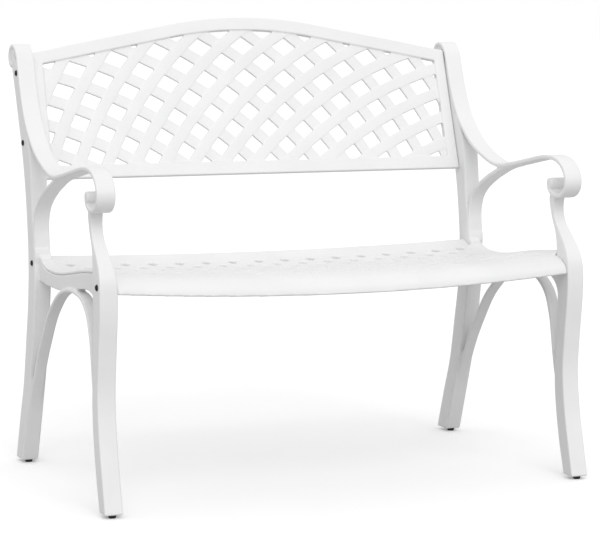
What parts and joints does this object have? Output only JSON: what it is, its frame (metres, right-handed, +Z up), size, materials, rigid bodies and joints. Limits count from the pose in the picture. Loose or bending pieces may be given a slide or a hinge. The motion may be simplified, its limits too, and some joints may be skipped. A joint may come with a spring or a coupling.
{
  "type": "garden bench",
  "caption": "Cast metal garden bench with lattice back and seat panels, scrolled armrests and curved splayed legs, bolted at the sides.",
  "frame": {"origin": "on the floor, under the middle of the overall bounding box", "axes": "+X along the bench's length, -Y the way a sitter faces, +Z up"},
  "size_m": [1.0248, 0.6705, 0.9305],
  "materials": {
    "white_powder_coat": "satin white powder coat",
    "black_steel": "black coated steel",
    "black_plastic": "matte black"
  },
  "bodies": {
    "root": {"left_side_frame": "white_powder_coat", "right_side_frame": "white_powder_coat", "back_panel": "white_powder_coat", "seat_panel": "white_powder_coat", "bolt_left_upper_back": "black_steel", "washer_left_upper_back": "black_steel", "bolt_left_lower_back": "black_steel", "washer_left_lower_back": "black_steel", "bolt_left_rear_seat": "black_steel", "washer_left_rear_seat": "black_steel", "bolt_left_front_seat": "black_steel", "washer_left_front_seat": "black_steel", "glide_left_front": "black_plastic", "glide_left_rear": "black_plastic", "bolt_right_upper_back": "black_steel", "washer_right_upper_back": "black_steel", "bolt_right_lower_back": "black_steel", "washer_right_lower_back": "black_steel", "bolt_right_rear_seat": "black_steel", "washer_right_rear_seat": "black_steel", "bolt_right_front_seat": "black_steel", "washer_right_front_seat": "black_steel", "glide_right_front": "black_plastic", "glide_right_rear": "black_plastic"}
  },
  "joints": []
}
